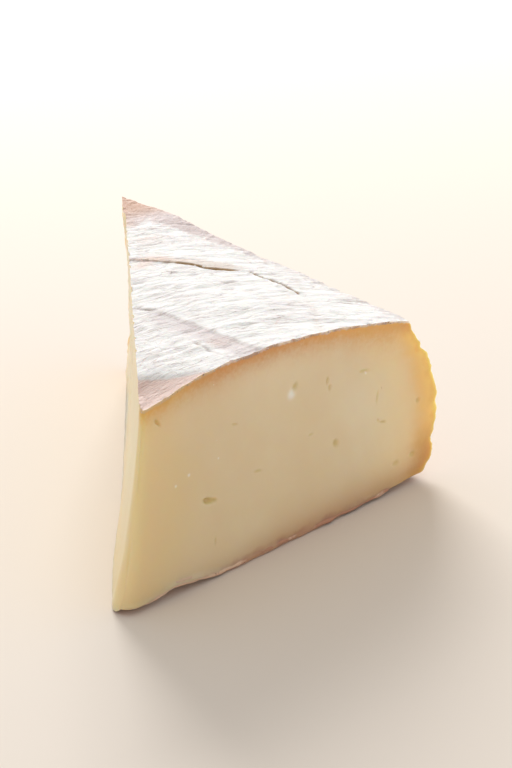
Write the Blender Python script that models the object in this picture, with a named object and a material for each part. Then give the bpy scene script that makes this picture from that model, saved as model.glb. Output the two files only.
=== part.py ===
"""An eighth of a square taleggio cheese, standing on its base.

One knife cut runs from the middle of the block square to its side, the other from the middle to a corner, so
the piece is a wedge with a tip of about 45 degrees, two smooth cut faces and one rind side. It is soft: the tip
droops, the left cut spreads at its foot, and the rind side bulges in folds. The rind carries the marks of the
boards and cloths that it ripened on.

A three-sided prism is subdivided finely, its points are moved on to the form by the functions below, and a
Decimate modifier keeps the triangles where there is relief. Lengths are in metres, +Z is up, and the origin is
at the middle of the base.
"""

import math

import bmesh
import bpy
import numpy as np
from mathutils import Vector, noise

# Driving dimensions of the wedge. Plan points are counted from the tip, with X along the short cut and Y along
# the rind side.
SHORT_CUT = 0.088  # top edge of the cut that meets the rind side squarely
RIND_RUN = 0.1005  # top edge of the rind side
TIP_HEIGHT = 0.0499
SIDE_HEIGHT = 0.0451  # where the short cut meets the rind side
CORNER_HEIGHT = 0.0542  # at the corner of the block
TIP_IN_FRAME = (-0.04820, -0.05440)  # the tip's place, which puts the origin at the middle of the wedge

# How the soft paste stands away from the plumb prism
SHORT_CUT_DOME = 0.0051  # rise of the top edge over a straight line, at the middle of the short cut
LONG_CUT_DOME = 0.0022
CORNER_SWELL, CORNER_SWELL_AT, CORNER_SWELL_REACH = 0.0010, 0.081, 0.010
TIP_DROOP, TIP_DROOP_REACH = 0.0014, 0.008  # the top sinks past the tip's board mark
TIP_TOP, TIP_FOOT = (-0.0007, -0.0003), (-0.0090, 0.0016)  # where the two cuts would meet in a sharp edge
TIP_RADIUS_TOP, TIP_RADIUS_FOOT = 0.0009, 0.0035
LONG_CUT_SPREAD, LONG_CUT_SPREAD_AT = 0.0009, 0.25  # extra spread of the left cut's foot, near the tip
CORNER_TAB, CORNER_TAB_RUN = 0.0006, 0.0135  # rind left standing along the left cut's top, by the corner
BULGE, BULGE_LEVEL = 0.0121, 0.36  # greatest bulge of the rind side, and its share of the height
BULGE_FOOT = 0.0071  # the bulge left at the foot
CORNER_BULGE = 0.62  # share of the bulge that reaches the corner
SHORT_CUT_RECESS = 0.0006  # how far the foot of the short cut is set back
FOOT_ROUND_CUT, FOOT_ROUND_RIND = 0.0005, 0.0034
FOOT_LIFT_TIP, FOOT_LIFT_RIND = 0.0017, 0.0018  # how far the base rind lifts, at both ends of the short cut

# Folds of the rind side, which run level
FOLD_DEPTH, FOLD_PITCH, FOLD_LENGTH, FIRST_FOLD = 0.0013, 0.0092, 0.030, 0.0047

# Creases of the top, which run across the block
CREASE_DEPTH, CREASE_LENGTH, CREASE_PITCH = 0.00034, 0.021, 0.0046
CREASE_TURN = math.radians(-15)

# Board marks: a sunk band across the top, and a step near the tip
BAND_FROM, BAND_TO, BAND_SLANT = 0.0292, 0.0332, 0.072
BAND_DEPTH, BAND_END = 0.00055, 0.046
TIP_STEP_START, TIP_STEP_END, TIP_STEP = (0.0080, 0.0098), (0.0219, -0.0003), 0.0004

# The long crack in the top rind, as plan points from the left cut towards the short cut
CRACK = (
    (0.0530, 0.0611), (0.0584, 0.0589), (0.0637, 0.0526), (0.0663, 0.0440),
    (0.0700, 0.0406), (0.0729, 0.0365), (0.0731, 0.0284), (0.0721, 0.0210),
)
CRACK_DEPTH, CRACK_WIDTH, CRACK_LIP = 0.0011, 0.0010, 0.0004

# Eyes of the short cut, as distance from the tip, height, half length, half height, tilt in degrees and depth
EYES = (
    (0.0466, 0.0384, 0.0011, 0.0016, -35, 0.0016),
    (0.0603, 0.0372, 0.0009, 0.0020, -8, 0.0008),
    (0.0730, 0.0362, 0.0017, 0.0009, 15, 0.0007),
    (0.0635, 0.0202, 0.0010, 0.0020, -40, 0.0012),
    (0.0806, 0.0201, 0.0014, 0.0008, 10, 0.0009),
    (0.0921, 0.0228, 0.0010, 0.0013, 0, 0.0007),
    (0.0200, 0.0196, 0.0018, 0.0010, 12, 0.0012),
    (0.0895, 0.0072, 0.0013, 0.0012, 0, 0.0009),
)

GRID = 160  # steps along each edge of the prism
END_CROWDING = 0.8  # how strongly the levels crowd towards the base and the top
MOST_TRIANGLES = 9000

PASTE_COLOUR = (0.78, 0.66, 0.42, 1.0)
SOFT_SHADING_ANGLE = math.radians(35)


def smooth(x, low, high):
    """0 below low, 1 above high and a smooth rise between them."""
    u = np.clip((x - low) / (high - low), 0.0, 1.0)
    return u * u * (3.0 - 2.0 * u)


def bump(x, middle, half_width):
    """1 at the middle, falling to a third at the half width and to nothing beyond it."""
    return np.exp(-(((x - middle) / half_width) ** 2))


def noise_at(u, v, layer):
    """Smooth noise from about -1 to 1, one cell for each unit of u and v. Each layer is another pattern."""
    return np.array([noise.noise(Vector((a, b, layer))) for a, b in zip(u, v)])


def along_path(x, y, path):
    """Distance of each point from a line of plan points, and the share of the line that lies before it."""
    points = np.array(path)
    lengths = np.hypot(*np.diff(points, axis=0).T)
    starts = np.concatenate([[0.0], np.cumsum(lengths)])
    nearest, share = np.full(len(x), np.inf), np.zeros(len(x))
    for start, end, length, before in zip(points, points[1:], lengths, starts):
        way = (end - start) / length
        ahead = np.clip((x - start[0]) * way[0] + (y - start[1]) * way[1], 0.0, length)
        distance = np.hypot(x - start[0] - ahead * way[0], y - start[1] - ahead * way[1])
        closer = distance < nearest
        nearest[closer] = distance[closer]
        share[closer] = (before + ahead[closer]) / starts[-1]
    return nearest, share


def top_form(tip, side, corner):
    """Height of the smooth top, from each point's shares of the three corners."""
    flat = tip * TIP_HEIGHT + side * SIDE_HEIGHT + corner * CORNER_HEIGHT
    domes = 4.0 * tip * side * SHORT_CUT_DOME + 4.0 * tip * corner * LONG_CUT_DOME
    swell = CORNER_SWELL * bump(corner * RIND_RUN, CORNER_SWELL_AT, CORNER_SWELL_REACH)
    return flat + domes + swell * smooth(side, 0.0, 0.15)


def top_relief(x, y):
    """Creases, board marks and the crack, as height over the smooth top."""
    along = x * math.cos(CREASE_TURN) + y * math.sin(CREASE_TURN)
    across = y * math.cos(CREASE_TURN) - x * math.sin(CREASE_TURN)
    wander = 0.35 * noise_at(along / 0.030, across / 0.020, 3.1)
    creases = noise_at(along / CREASE_LENGTH, across / CREASE_PITCH + wander, 7.3)
    relief = CREASE_DEPTH * (1.0 - 2.4 * np.abs(creases))

    x_in_band = x - BAND_SLANT * y
    in_band = smooth(x_in_band, BAND_FROM - 0.001, BAND_FROM)
    in_band -= smooth(x_in_band, BAND_TO, BAND_TO + 0.001)
    relief -= BAND_DEPTH * in_band * (1.0 - smooth(y, BAND_END - 0.012, BAND_END))

    run = np.subtract(TIP_STEP_END, TIP_STEP_START)
    normal = np.array([-run[1], run[0]]) / np.hypot(*run)
    past = (x - TIP_STEP_START[0]) * normal[0] + (y - TIP_STEP_START[1]) * normal[1]
    relief -= TIP_STEP * (1.0 - smooth(past, -0.0009, 0.0009))
    relief -= TIP_DROOP * (1.0 - smooth(past, -TIP_DROOP_REACH, 0.3 * TIP_DROOP_REACH))

    distance, share = along_path(x, y, CRACK)
    open_here = smooth(share, 0.0, 0.2) * (1.0 - smooth(share, 0.9, 1.0))
    relief += CRACK_LIP * bump(distance, 2.2 * CRACK_WIDTH, 1.2 * CRACK_WIDTH) * open_here
    return relief - CRACK_DEPTH * bump(distance, 0.0, CRACK_WIDTH) * open_here


def bulge_of(level):
    """Bulge of the rind side at a share of the height, without its folds."""
    above = np.clip((level - BULGE_LEVEL) / (1.0 - BULGE_LEVEL), 0.0, 1.0)
    below = np.clip((BULGE_LEVEL - level) / BULGE_LEVEL, 0.0, 1.0)
    upper = BULGE * (1.0 - above**2) ** 0.95
    lower = BULGE - (BULGE - BULGE_FOOT) * below**2
    return np.where(level > BULGE_LEVEL, upper, lower)


def folds_of(run, height, level):
    """Level folds of the rind side, at a distance along it. They are deeper low down."""
    from_cut = smooth(run, 0.0, 0.02)
    wander = noise_at(run / FOLD_LENGTH, height / 0.022, 12.4) * from_cut
    strength = 0.75 + 1.1 * noise_at(run / 0.016, height / 0.012, 14.8) * from_cut
    wave = np.cos(2.0 * math.pi * ((height - FIRST_FOLD) / FOLD_PITCH + 0.9 * wander))
    rough = noise_at(run / 0.014, height / 0.0060, 17.9)
    fade = smooth(level, 0.0, 0.08) * (1.0 - 0.8 * smooth(level, 0.75, 1.0))
    return FOLD_DEPTH * ((1.0 - level) * wave * strength + 0.5 * rough) * fade


def foot_round(height, radius):
    """How far a wall is set back near the base, where its edge is rounded."""
    down = np.clip(1.0 - height / radius, 0.0, 1.0)
    return radius * (1.0 - np.sqrt(1.0 - down**2))


def foot_lift(x):
    """How far the base rind lifts off the board along the short cut."""
    return FOOT_LIFT_TIP * (1.0 - smooth(x, 0.016, 0.029)) + FOOT_LIFT_RIND * smooth(x, 0.050, 0.097)


def round_tip(x, y, apex, level):
    """Draws the points near the tip's upright edge on to an arc, wider at the foot than at the top."""
    radius = TIP_RADIUS_TOP + (TIP_RADIUS_FOOT - TIP_RADIUS_TOP) * (1.0 - level) ** 1.5
    front = np.tile([1.0, 0.0], (len(x), 1))
    left = np.array([SHORT_CUT, RIND_RUN]) * (1.0 + CORNER_BULGE * BULGE_FOOT / SHORT_CUT) - apex
    left /= np.linalg.norm(left, axis=1, keepdims=True)
    middle = front + left
    middle /= np.linalg.norm(middle, axis=1, keepdims=True)
    half_angle = 0.5 * np.arccos(np.clip((front * left).sum(1), -1.0, 1.0))
    centre = apex + middle * (radius / np.sin(half_angle))[:, None]
    out_front = np.tile([0.0, -1.0], (len(x), 1))
    out_left = np.stack([-left[:, 1], left[:, 0]], axis=1)
    q = np.stack([x, y], axis=1) - centre
    length = np.linalg.norm(q, axis=1) + 1e-12
    to_front, to_left = (q * out_front).sum(1) / length, (q * out_left).sum(1) / length
    between = (q[:, 0] * out_front[:, 1] - q[:, 1] * out_front[:, 0] >= 0.0) & (
        q[:, 0] * out_left[:, 1] - q[:, 1] * out_left[:, 0] <= 0.0
    )
    towards_tip = (q * middle).sum(1) < 0.0
    factor = np.where(between & towards_tip, np.maximum(to_front, to_left), 1.0)
    return centre[:, 0] + q[:, 0] * factor, centre[:, 1] + q[:, 1] * factor


def eye_depth(run, height):
    """Depth of the eyes at a place on the short cut."""
    depth = np.zeros(len(run))
    for place, level, half_length, half_height, tilt, deep in EYES:
        turn = math.radians(tilt)
        u = (run - place) * math.cos(turn) + (height - level) * math.sin(turn)
        v = (height - level) * math.cos(turn) - (run - place) * math.sin(turn)
        depth += deep * np.exp(-(((u / half_length) ** 2 + (v / half_height) ** 2) ** 1.5))
    return depth


def form_of(tip, side, corner, level):
    """Places of points of the prism, given by their shares of the three corners and of the height."""
    low = 1.0 - level
    run_short, run_rind = side * SHORT_CUT, corner * RIND_RUN
    x = side * SHORT_CUT + corner * SHORT_CUT
    y = corner * RIND_RUN
    height = top_form(tip, side, corner) + top_relief(x, y)
    z = level * height

    # The upright edges move first, and what lies between them goes with them.
    bulge = bulge_of(level)
    rough = folds_of(run_rind, z, level) - foot_round(z, FOOT_ROUND_RIND)
    apex = TIP_TOP + np.outer(low**1.5, np.subtract(TIP_FOOT, TIP_TOP))
    x = x + tip * apex[:, 0] + side * (bulge + rough) + corner * (CORNER_BULGE * bulge + rough)
    y = y + tip * apex[:, 1] + side * SHORT_CUT_RECESS * low
    y = y + corner * CORNER_BULGE * bulge * RIND_RUN / SHORT_CUT

    # Then each face swells or is set back along its own normal, fading into the piece.
    on_short = np.exp(-((corner / 0.08) ** 2))
    on_long = np.exp(-((side / 0.08) ** 2))
    cut_set_back = foot_round(z, FOOT_ROUND_CUT)
    waves = 0.0005 * noise_at(run_short / 0.030, z / 0.022, 21.7) * 4.0 * level * low
    y = y + on_short * (cut_set_back + waves + eye_depth(x, z) * (corner == 0.0))
    left = np.array([-RIND_RUN, SHORT_CUT]) / math.hypot(SHORT_CUT, RIND_RUN)
    waves = 0.0006 * noise_at(corner / 0.25, z / 0.020, 25.2) * 4.0 * level * low
    spread = LONG_CUT_SPREAD * bump(corner, LONG_CUT_SPREAD_AT, 0.16) * low**1.5
    tab = CORNER_TAB * smooth(run_rind, RIND_RUN - CORNER_TAB_RUN, RIND_RUN - CORNER_TAB_RUN + 0.0015)
    swell = spread + waves - cut_set_back + tab * smooth(level, 0.82, 0.88)
    x, y = x + left[0] * on_long * swell, y + left[1] * on_long * swell

    x, y = round_tip(x, y, apex, level)
    z = z + foot_lift(x) * low**4 * np.exp(-((corner / 0.035) ** 2))
    return np.stack([x + TIP_IN_FRAME[0], y + TIP_IN_FRAME[1], z], axis=1)


def prism():
    """A finely divided three-sided prism, and each point's shares of the corners and of the height."""
    mesh = bmesh.new()
    bmesh.ops.create_cone(mesh, segments=3, cap_ends=True, cap_tris=False, radius1=1.0, radius2=1.0, depth=1.0)
    mesh.verts.ensure_lookup_table()
    lower = sorted((v for v in mesh.verts if v.co.z < 0.0), key=lambda v: math.atan2(v.co.y, v.co.x))
    corners = np.array([v.co.xy for v in lower])
    bmesh.ops.subdivide_edges(mesh, edges=mesh.edges[:], cuts=GRID - 1, use_grid_fill=True)
    points = np.array([v.co for v in mesh.verts])
    to_shares = np.linalg.inv(np.vstack([corners.T, np.ones(3)]))
    shares = np.column_stack([points[:, :2], np.ones(len(points))]) @ to_shares.T
    shares[np.abs(shares) < 1e-5] = 0.0
    steps = np.clip(points[:, 2] + 0.5, 0.0, 1.0)
    levels = steps - END_CROWDING * np.sin(2.0 * math.pi * steps) / (2.0 * math.pi)
    return mesh, shares, levels


def cheese_material():
    material = bpy.data.materials.new("taleggio_paste")
    material.use_nodes = True
    shader = material.node_tree.nodes["Principled BSDF"]
    shader.inputs["Base Color"].default_value = PASTE_COLOUR
    shader.inputs["Roughness"].default_value = 0.5
    shader.inputs["Metallic"].default_value = 0.0
    material.diffuse_color = PASTE_COLOUR
    return material


def wedge():
    """The wedge as one object with one closed mesh."""
    mesh, shares, levels = prism()
    places = form_of(shares[:, 0], shares[:, 1], shares[:, 2], levels)
    for vertex, place in zip(mesh.verts, places):
        vertex.co = place
    bmesh.ops.recalc_face_normals(mesh, faces=mesh.faces[:])
    data = bpy.data.meshes.new("taleggio_wedge")
    mesh.to_mesh(data)
    mesh.free()
    data.materials.append(cheese_material())
    data.shade_smooth()
    data.set_sharp_from_angle(angle=SOFT_SHADING_ANGLE)
    cheese = bpy.data.objects.new("taleggio_wedge", data)
    thin = cheese.modifiers.new("fewer_triangles", "DECIMATE")
    thin.ratio = MOST_TRIANGLES / sum(len(face.vertices) - 2 for face in data.polygons)
    thin.use_collapse_triangulate = True
    return cheese


def main():
    for item in list(bpy.data.objects):
        bpy.data.objects.remove(item)
    group = bpy.data.collections.new("taleggio")
    bpy.context.scene.collection.children.link(group)
    group.objects.link(wedge())


main()
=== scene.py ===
"""The looks of a wedge of taleggio cheese, laid out as an add-on and run as a script.

The wedge is one closed body with pale paste on its two cut faces and a bloomed washed rind everywhere else.
It repeats the form of the solid that it stands for and adds the fine relief. Geometry Nodes add the lip of
the base rind, flakes along the cut rind, tufts of white mould and specks of paste. Lengths are in metres.
"""

import math

import bmesh
import bpy
import numpy as np
from bpy.props import FloatProperty, FloatVectorProperty, IntProperty, PointerProperty
from bpy.types import Operator, Panel, PropertyGroup
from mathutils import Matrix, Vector, noise


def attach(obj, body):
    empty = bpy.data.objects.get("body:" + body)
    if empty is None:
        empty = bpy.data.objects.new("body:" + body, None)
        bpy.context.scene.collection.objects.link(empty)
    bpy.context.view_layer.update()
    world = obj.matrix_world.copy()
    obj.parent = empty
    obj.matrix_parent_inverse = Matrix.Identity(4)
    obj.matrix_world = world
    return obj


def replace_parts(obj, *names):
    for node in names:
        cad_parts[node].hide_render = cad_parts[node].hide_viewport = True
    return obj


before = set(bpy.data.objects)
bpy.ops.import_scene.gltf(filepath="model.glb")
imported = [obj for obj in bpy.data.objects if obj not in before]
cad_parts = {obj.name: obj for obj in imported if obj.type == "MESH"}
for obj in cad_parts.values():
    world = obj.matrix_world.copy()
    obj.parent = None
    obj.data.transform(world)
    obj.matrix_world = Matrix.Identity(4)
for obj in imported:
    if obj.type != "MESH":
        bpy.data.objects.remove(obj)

bl_info = {
    "name": "Taleggio Wedge",
    "version": (1, 0, 0),
    "blender": (4, 5, 0),
    "location": "View3D > Sidebar > Cheese",
    "description": "Makes a wedge of soft washed-rind cheese and its plain studio stage",
    "category": "Object",
}

NODE = "taleggio_wedge"


def number(name, description, default, unit="NONE", precision=3):
    """A plain number, or a measure in a unit."""
    return FloatProperty(name=name, description=description, default=default, unit=unit, precision=precision)


def length(name, description, default):
    """A size in metres."""
    return number(name, description, default, "LENGTH", 5)


def colour(name, description, code):
    """A colour, given as the six hexadecimal digits that a screen shows."""
    default = from_screen(code)
    return FloatVectorProperty(
        name=name, description=description, default=default, subtype="COLOR", min=0.0, max=1.0
    )


def from_screen(code):
    """Linear red, green and blue of six hexadecimal digits."""
    shares = [int(code[k : k + 2], 16) / 255.0 for k in (0, 2, 4)]
    return tuple(v / 12.92 if v <= 0.04045 else ((v + 0.055) / 1.055) ** 2.4 for v in shares)


class TALEGGIO_PG_form(PropertyGroup):
    """Sizes of the wedge."""

    short_cut: length("Short cut", "Top edge of the cut that meets the rind side squarely", 0.088)
    rind_run: length("Rind side", "Top edge of the rind side", 0.1005)
    tip_height: length("Tip height", "Height over the tip, before it droops", 0.0499)
    side_height: length("Side height", "Height where the short cut meets the rind side", 0.0451)
    corner_height: length("Corner height", "Height at the block's corner", 0.0542)
    short_dome: length("Short cut dome", "Rise of the short cut's top edge over a straight line", 0.0051)
    long_dome: length("Long cut dome", "Rise of the long cut's top edge over a straight line", 0.0022)
    corner_swell: length("Corner swell", "Rise of the rind side's top edge near the corner", 0.0010)
    tip_droop: length("Tip droop", "How far the top sinks past the tip's board mark", 0.0014)
    bulge: length("Bulge", "How far the rind side bulges past its top edge", 0.0125)
    bulge_foot: length("Bulge at the foot", "Bulge that is left at the base", 0.0088)
    corner_bulge: number("Corner bulge", "Share of the bulge that reaches the corner", 0.62)
    spread_long: length("Long cut spread", "Extra spread of the long cut's foot near the tip", 0.0006)
    recess_long: length("Long cut recess", "How far the lower long cut is set back away from the tip", 0.0008)
    tooth_depth: length("Rind roughness", "Depth of the small pits and teeth of the rind side", 0.00042)
    fold_depth: length("Fold depth", "Depth of the level folds of the rind side", 0.0013)
    fold_pitch: length("Fold pitch", "Height from one fold to the next", 0.0092)
    crease_depth: length("Crease depth", "Depth of the creases across the top", 0.00026)
    wrinkle_depth: length("Wrinkle depth", "Depth of the fine wrinkles between the creases", 0.00017)
    crack_depth: length("Crack depth", "Depth of the crack in the top rind", 0.0008)
    crack_width: length("Crack width", "Half width of the crack in the top rind", 0.00028)
    base_lip: length("Base lip", "How far the base rind stands out under the short cut", 0.00035)
    run_steps: IntProperty(name="Steps along", description="Steps along each edge of the prism", default=130)
    rise_steps: IntProperty(name="Steps up", description="Steps of the prism from base to top", default=100)


class TALEGGIO_PG_look(PropertyGroup):
    """Colours of the paste and the rind."""

    paste: colour("Paste", "Middle of the cut faces", "F1E1BE")
    paste_deep: colour("Deeper paste", "Cloudy deeper patches of the paste", "EBD4AB")
    # Paste by the side: yellower paste, with a painted glow of light coming through the rind side.
    paste_side_ripe_and_glow: colour("Paste by the side", "Yellower paste towards the rind side", "FFE0A0")
    paste_thin: colour("Paste by the tip", "Paste where the wedge is thin", "EDD6A0")
    paste_left: colour("Paste of the long cut", "Paste of the long cut, a little greener", "E9DCB6")
    ripe_base: colour("Paste over the base", "Ripe brownish paste over the base rind", "C48C5C")
    under_rind: colour("Paste under the rind", "Riper paste just under the rind", "D29A55")
    under_side: colour("Paste under the side", "Riper paste under the rind near the rind side", "E3B060")
    under_tip: colour("Paste under the tip", "Riper paste under the rind at the tip", "DDB060")
    # Rim colours: ripe amber paste and rind along the rind side, with a painted glow of light shining through
    # the rind that dims towards the base.
    rim_ripe_and_glow: colour("Rim", "Ripest paste along the rind side", "FCD57F")
    rim_outer_rind_and_glow: colour("Outer rim", "Rind along the rind side", "EDC06C")
    rim_low_glow_fade: colour("Low rim", "Ripest paste along the lower rind side", "CA984E")
    rind_section: colour("Cut rind", "Thin line of the rind where it is cut", "A88D84")
    section_pale: colour("Pale cut rind", "Paler stretches of the cut rind", "D3C0BA")
    section_tip: colour("Cut rind by the tip", "Cut rind by the tip, which is crumbly", "CDAE8C")
    bloom: colour("Bloom", "White mould on the rind", "F8F7F5")
    bloom_thin: colour("Thin bloom", "Grey-pink rind that shows through thin mould", "DCD0D0")
    bare: colour("Bare rind", "Washed rind without mould", "E2CCC2")
    bare_tip: colour("Bare tip rind", "Washed rind without mould at the tip", "DCBBAE")
    edge: colour("Edge rind", "Rind with thin mould along the edge over the rind side", "BFABA8")
    # Crease lines: painted shade at the bottoms of the creases.
    line: colour("Crease lines", "Bottoms of the creases", "AA8F89")
    bare_corner: colour("Bare corner rind", "Washed rind without mould at the block's corner", "AE7850")
    bare_side: colour("Side rind", "Washed rind of the bulging side", "D9A66C")
    crack: colour("Crack", "Paste and rind inside the crack", "AD8548")
    base: colour("Base rind", "Damp rind of the base and its lip", "C08C70")
    base_tip: colour("Base rind by the tip", "Paler peach rind that lines the foot by the tip", "D6A98C")
    lip_pale: colour("Pale lip", "Paler stretches of the base rind's lip", "E2BFA2")
    lip_stain: colour("Lip stains", "Reddish stains of the lip", "8E4A38")
    lip_under: colour("Under the lip", "Shaded foot of the lip", "845443")
    # Eyes: olive tint inside the eyes, with painted shade in their hollows.
    eye: colour("Eyes", "Inside of the eyes", "D9C47E")
    # Pale specks: pale specks of paste, and a painted highlight on the lower lip of one eye.
    pale_speck_and_highlight: colour("Pale specks", "Pale specks of the cut", "FFFAF0")
    crumb: colour("Crumbs", "Specks of paste on the cuts", "FBF1DC")
    tuft: colour("Tufts", "Older tufts of mould", "EADFD2")


class TALEGGIO_PG_stage(PropertyGroup):
    """Floor, light and camera."""

    floor: colour("Floor", "Pale floor", "E8DED3")
    floor_reach: length("Floor reach", "Half the side of the floor", 4.0)
    sky: number("Sky", "Strength of the light from all round", 0.66)
    back_light: number("Back light", "Power of the large light behind", 31.0, "POWER")
    lamp_side: length("Lamp side", "Side of the square light", 0.9)
    lens: number("Lens", "Focal length for a sensor 36 mm wide", 93.75, "CAMERA")


# Places of the lamp and, from the tip, of the camera in metres, and the camera's turn in degrees
LAMP_PLACE = (0.93, 1.20, 0.85)
CAMERA_FROM_TIP = (-0.26188, -0.28516, 0.21937)
CAMERA_TURN = (67.02, 0.0, -46.16)

# The tip's place in the frame, and how its upright edge leans and is rounded, in metres
TIP_IN_FRAME = (-0.04820, -0.05440)
TIP_TOP, TIP_FOOT = (-0.0007, -0.0003), (-0.0090, 0.0016)
TIP_RADIUS_TOP, TIP_RADIUS_FOOT = 0.0009, 0.0035

# Lines on the top rind, as plan points in mm from the tip, along the short cut and along the rind side
TIP_LINE = ((8.0, 9.8), (14.5, 3.4), (21.9, -0.3))
CRACK_NEAR = (
    (56.0, 57.5), (61.0, 52.5), (63.5, 49.0), (65.0, 45.5), (67.5, 43.0), (70.5, 41.3), (72.2, 40.4),
)  # fmt: skip
CRACK_FAR = ((73.9, 39.5), (73.6, 34.0), (74.1, 28.5), (73.3, 24.0), (72.6, 21.3))
FOLD_LINE = (
    (48.0, 63.5), (54.5, 60.3), (60.0, 57.0), (66.0, 52.0), (69.5, 49.0), (73.0, 45.0), (76.0, 41.0),
)  # fmt: skip
BRUISE = ((72.4, 20.5), (69.5, 15.0), (66.0, 10.0), (61.0, 4.5), (58.0, 1.0))

# Deeper single creases of the top, in mm and degrees: middle x and y, length, turn, depth
DEEP_CREASES = (
    (62.5, 35.2, 4.0, -12, 0.42), (58.8, 31.9, 3.4, -14, 0.42), (64.0, 28.4, 4.6, -6, 0.25),
    (45.0, 12.4, 8.5, -7, 0.25), (34.9, 34.8, 4.2, -65, 0.50), (59.0, 44.0, 3.2, -18, 0.25),
    (28.6, 9.0, 9.0, 86, 0.30), (54.0, 25.2, 4.6, -14, 0.22), (46.0, 34.5, 5.0, -12, 0.2),
    (19.0, 15.0, 8.0, -8, 0.25), (76.0, 60.0, 9.0, -16, 0.2), (80.0, 14.0, 7.0, -20, 0.2),
    (52.2, 19.5, 3.6, -12, 0.28), (66.5, 17.0, 3.2, -14, 0.25), (70.5, 24.0, 2.4, -16, 0.22),
    (55.5, 47.5, 2.2, -14, 0.3), (49.5, 42.0, 4.5, -6, 0.2), (41.0, 24.0, 5.5, -12, 0.2),
    (61.0, 22.4, 4.0, -10, 0.2), (44.5, 48.0, 4.0, -8, 0.25), (25.0, 22.0, 5.0, -4, 0.2),
    (72.0, 8.0, 4.0, -20, 0.22), (64.0, 66.0, 5.0, -12, 0.25), (79.0, 49.0, 5.0, -18, 0.22),
)  # fmt: skip

# Pink places with little mould on the top: middle x and y and reach in mm, strength
PINK_PLACES = (
    (52.5, 55.5, 2.4, 0.7), (67.0, 70.0, 4.0, 0.55), (85.0, 60.0, 6.0, 0.45), (87.0, 38.0, 5.0, 0.45),
    (62.0, 57.5, 3.0, 0.5), (57.0, 58.0, 2.2, 0.7), (33.0, 10.0, 3.4, 0.30), (88.0, 20.0, 4.0, 0.3),
    (17.0, 18.0, 4.0, 0.25),
)  # fmt: skip

# Eyes of the short cut, in mm and degrees: place along it, height, half length, half height, tilt, depth
EYES = (
    (48.0, 39.9, 0.8, 1.3, -30, 0.4), (59.2, 38.2, 0.4, 1.0, -6, 0.32), (60.0, 36.2, 0.45, 0.8, 4, 0.3),
    (72.3, 36.7, 1.6, 0.45, -10, 0.30), (63.0, 20.7, 1.1, 0.9, -50, 0.40),
    (80.2, 20.7, 1.1, 0.35, -16, 0.35), (20.3, 20.5, 1.5, 0.75, -22, 0.9),
    (78.4, 21.7, 0.7, 0.3, -50, 0.25), (22.2, 20.1, 0.8, 0.5, -30, 0.4), (93.2, 22.5, 0.8, 0.7, 0, 0.30),
    (85.4, 7.0, 1.2, 0.8, 0, 0.3), (91.8, 7.4, 1.0, 0.7, 0, 0.3), (22.8, 9.2, 0.3, 1.1, 0, 0.25),
    (4.6, 45.1, 1.3, 0.4, -50, 0.5), (28.6, 36.9, 1.0, 0.3, -20, 0.2), (36.2, 22.6, 1.2, 0.35, -10, 0.3),
    (77.6, 28.2, 0.4, 1.6, -5, 0.25), (54.0, 26.0, 0.9, 0.35, 0, 0.25),
)  # fmt: skip

# Pale specks of the short cut, the first a painted highlight on the lower lip of an eye: distance from the
# tip, height and reach in mm
PALE_SPECKS_AND_HIGHLIGHT = (
    (46.9, 38.6, 1.3), (14.2, 29.2, 0.4), (10.2, 27.8, 0.35), (23.5, 30.2, 0.25), (73.0, 36.0, 0.35),
)  # fmt: skip

# Steps of the rind side where the short cut shows them: height, half height and how far out, in mm
SIDE_STEPS = (
    (42.0, 1.6, -0.9), (39.4, 1.3, -0.75), (36.3, 0.8, -0.7), (34.2, 0.7, 0.25), (30.0, 3.0, 0.3),
    (22.0, 2.2, 0.4), (18.0, 1.4, 0.9), (13.4, 1.3, -0.8), (7.4, 1.6, 0.8),
)  # fmt: skip


def smooth(x, low, high):
    """0 below low, 1 above high and a smooth rise between them."""
    u = np.clip((x - low) / (high - low), 0.0, 1.0)
    return u * u * (3.0 - 2.0 * u)


def stretch(x, start, full, fade, end):
    """1 from full to fade, with smooth ends that reach 0 at start and end."""
    return smooth(x, start, full) * (1.0 - smooth(x, fade, end))


def bump(x, middle, half_width):
    """1 at the middle, falling to a third at the half width and to nothing beyond it."""
    return np.exp(-(((x - middle) / half_width) ** 2))


def noise_at(u, v, layer):
    """Smooth noise from about -1 to 1, one cell for each unit of u and v. Each layer is another pattern."""
    return np.array([noise.noise(Vector((a, b, layer))) for a, b in zip(u, v)])


def along_path(x, y, path):
    """Distance of each point from a line of plan points, the share of the line before it and its side."""
    points = np.array(path)
    lengths = np.hypot(*np.diff(points, axis=0).T)
    starts = np.concatenate([[0.0], np.cumsum(lengths)])
    nearest, share, side = np.full(len(x), np.inf), np.zeros(len(x)), np.ones(len(x))
    for start, end, step, before in zip(points, points[1:], lengths, starts):
        way = (end - start) / step
        ahead = np.clip((x - start[0]) * way[0] + (y - start[1]) * way[1], 0.0, step)
        distance = np.hypot(x - start[0] - ahead * way[0], y - start[1] - ahead * way[1])
        closer = distance < nearest
        nearest[closer] = distance[closer]
        share[closer] = (before + ahead[closer]) / starts[-1]
        side[closer] = np.sign((y - start[1]) * way[0] - (x - start[0]) * way[1])[closer]
    return nearest, share, side


def crease_lines(along, across, pitch, reach, layer, sharpness):
    """Thin lines where a stretched noise crosses zero, as 1 on the line and 0 away from it."""
    wander = 0.35 * noise_at(along / (1.4 * reach), across / (4.5 * pitch), layer + 3.1)
    value = noise_at(along / reach, across / pitch + wander, layer)
    return np.exp(-((np.abs(value) * sharpness) ** 1.3)), value


def top_form(s, tip, side, corner):
    """Height of the smooth top, from each point's shares of the three corners."""
    flat = tip * s.tip_height + side * s.side_height + corner * s.corner_height
    domes = 4.0 * tip * side * s.short_dome + 4.0 * tip * corner * s.long_dome
    swell = s.corner_swell * bump(corner * s.rind_run, 0.081, 0.010)
    return flat + domes + swell * smooth(side, 0.0, 0.15)


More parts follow.
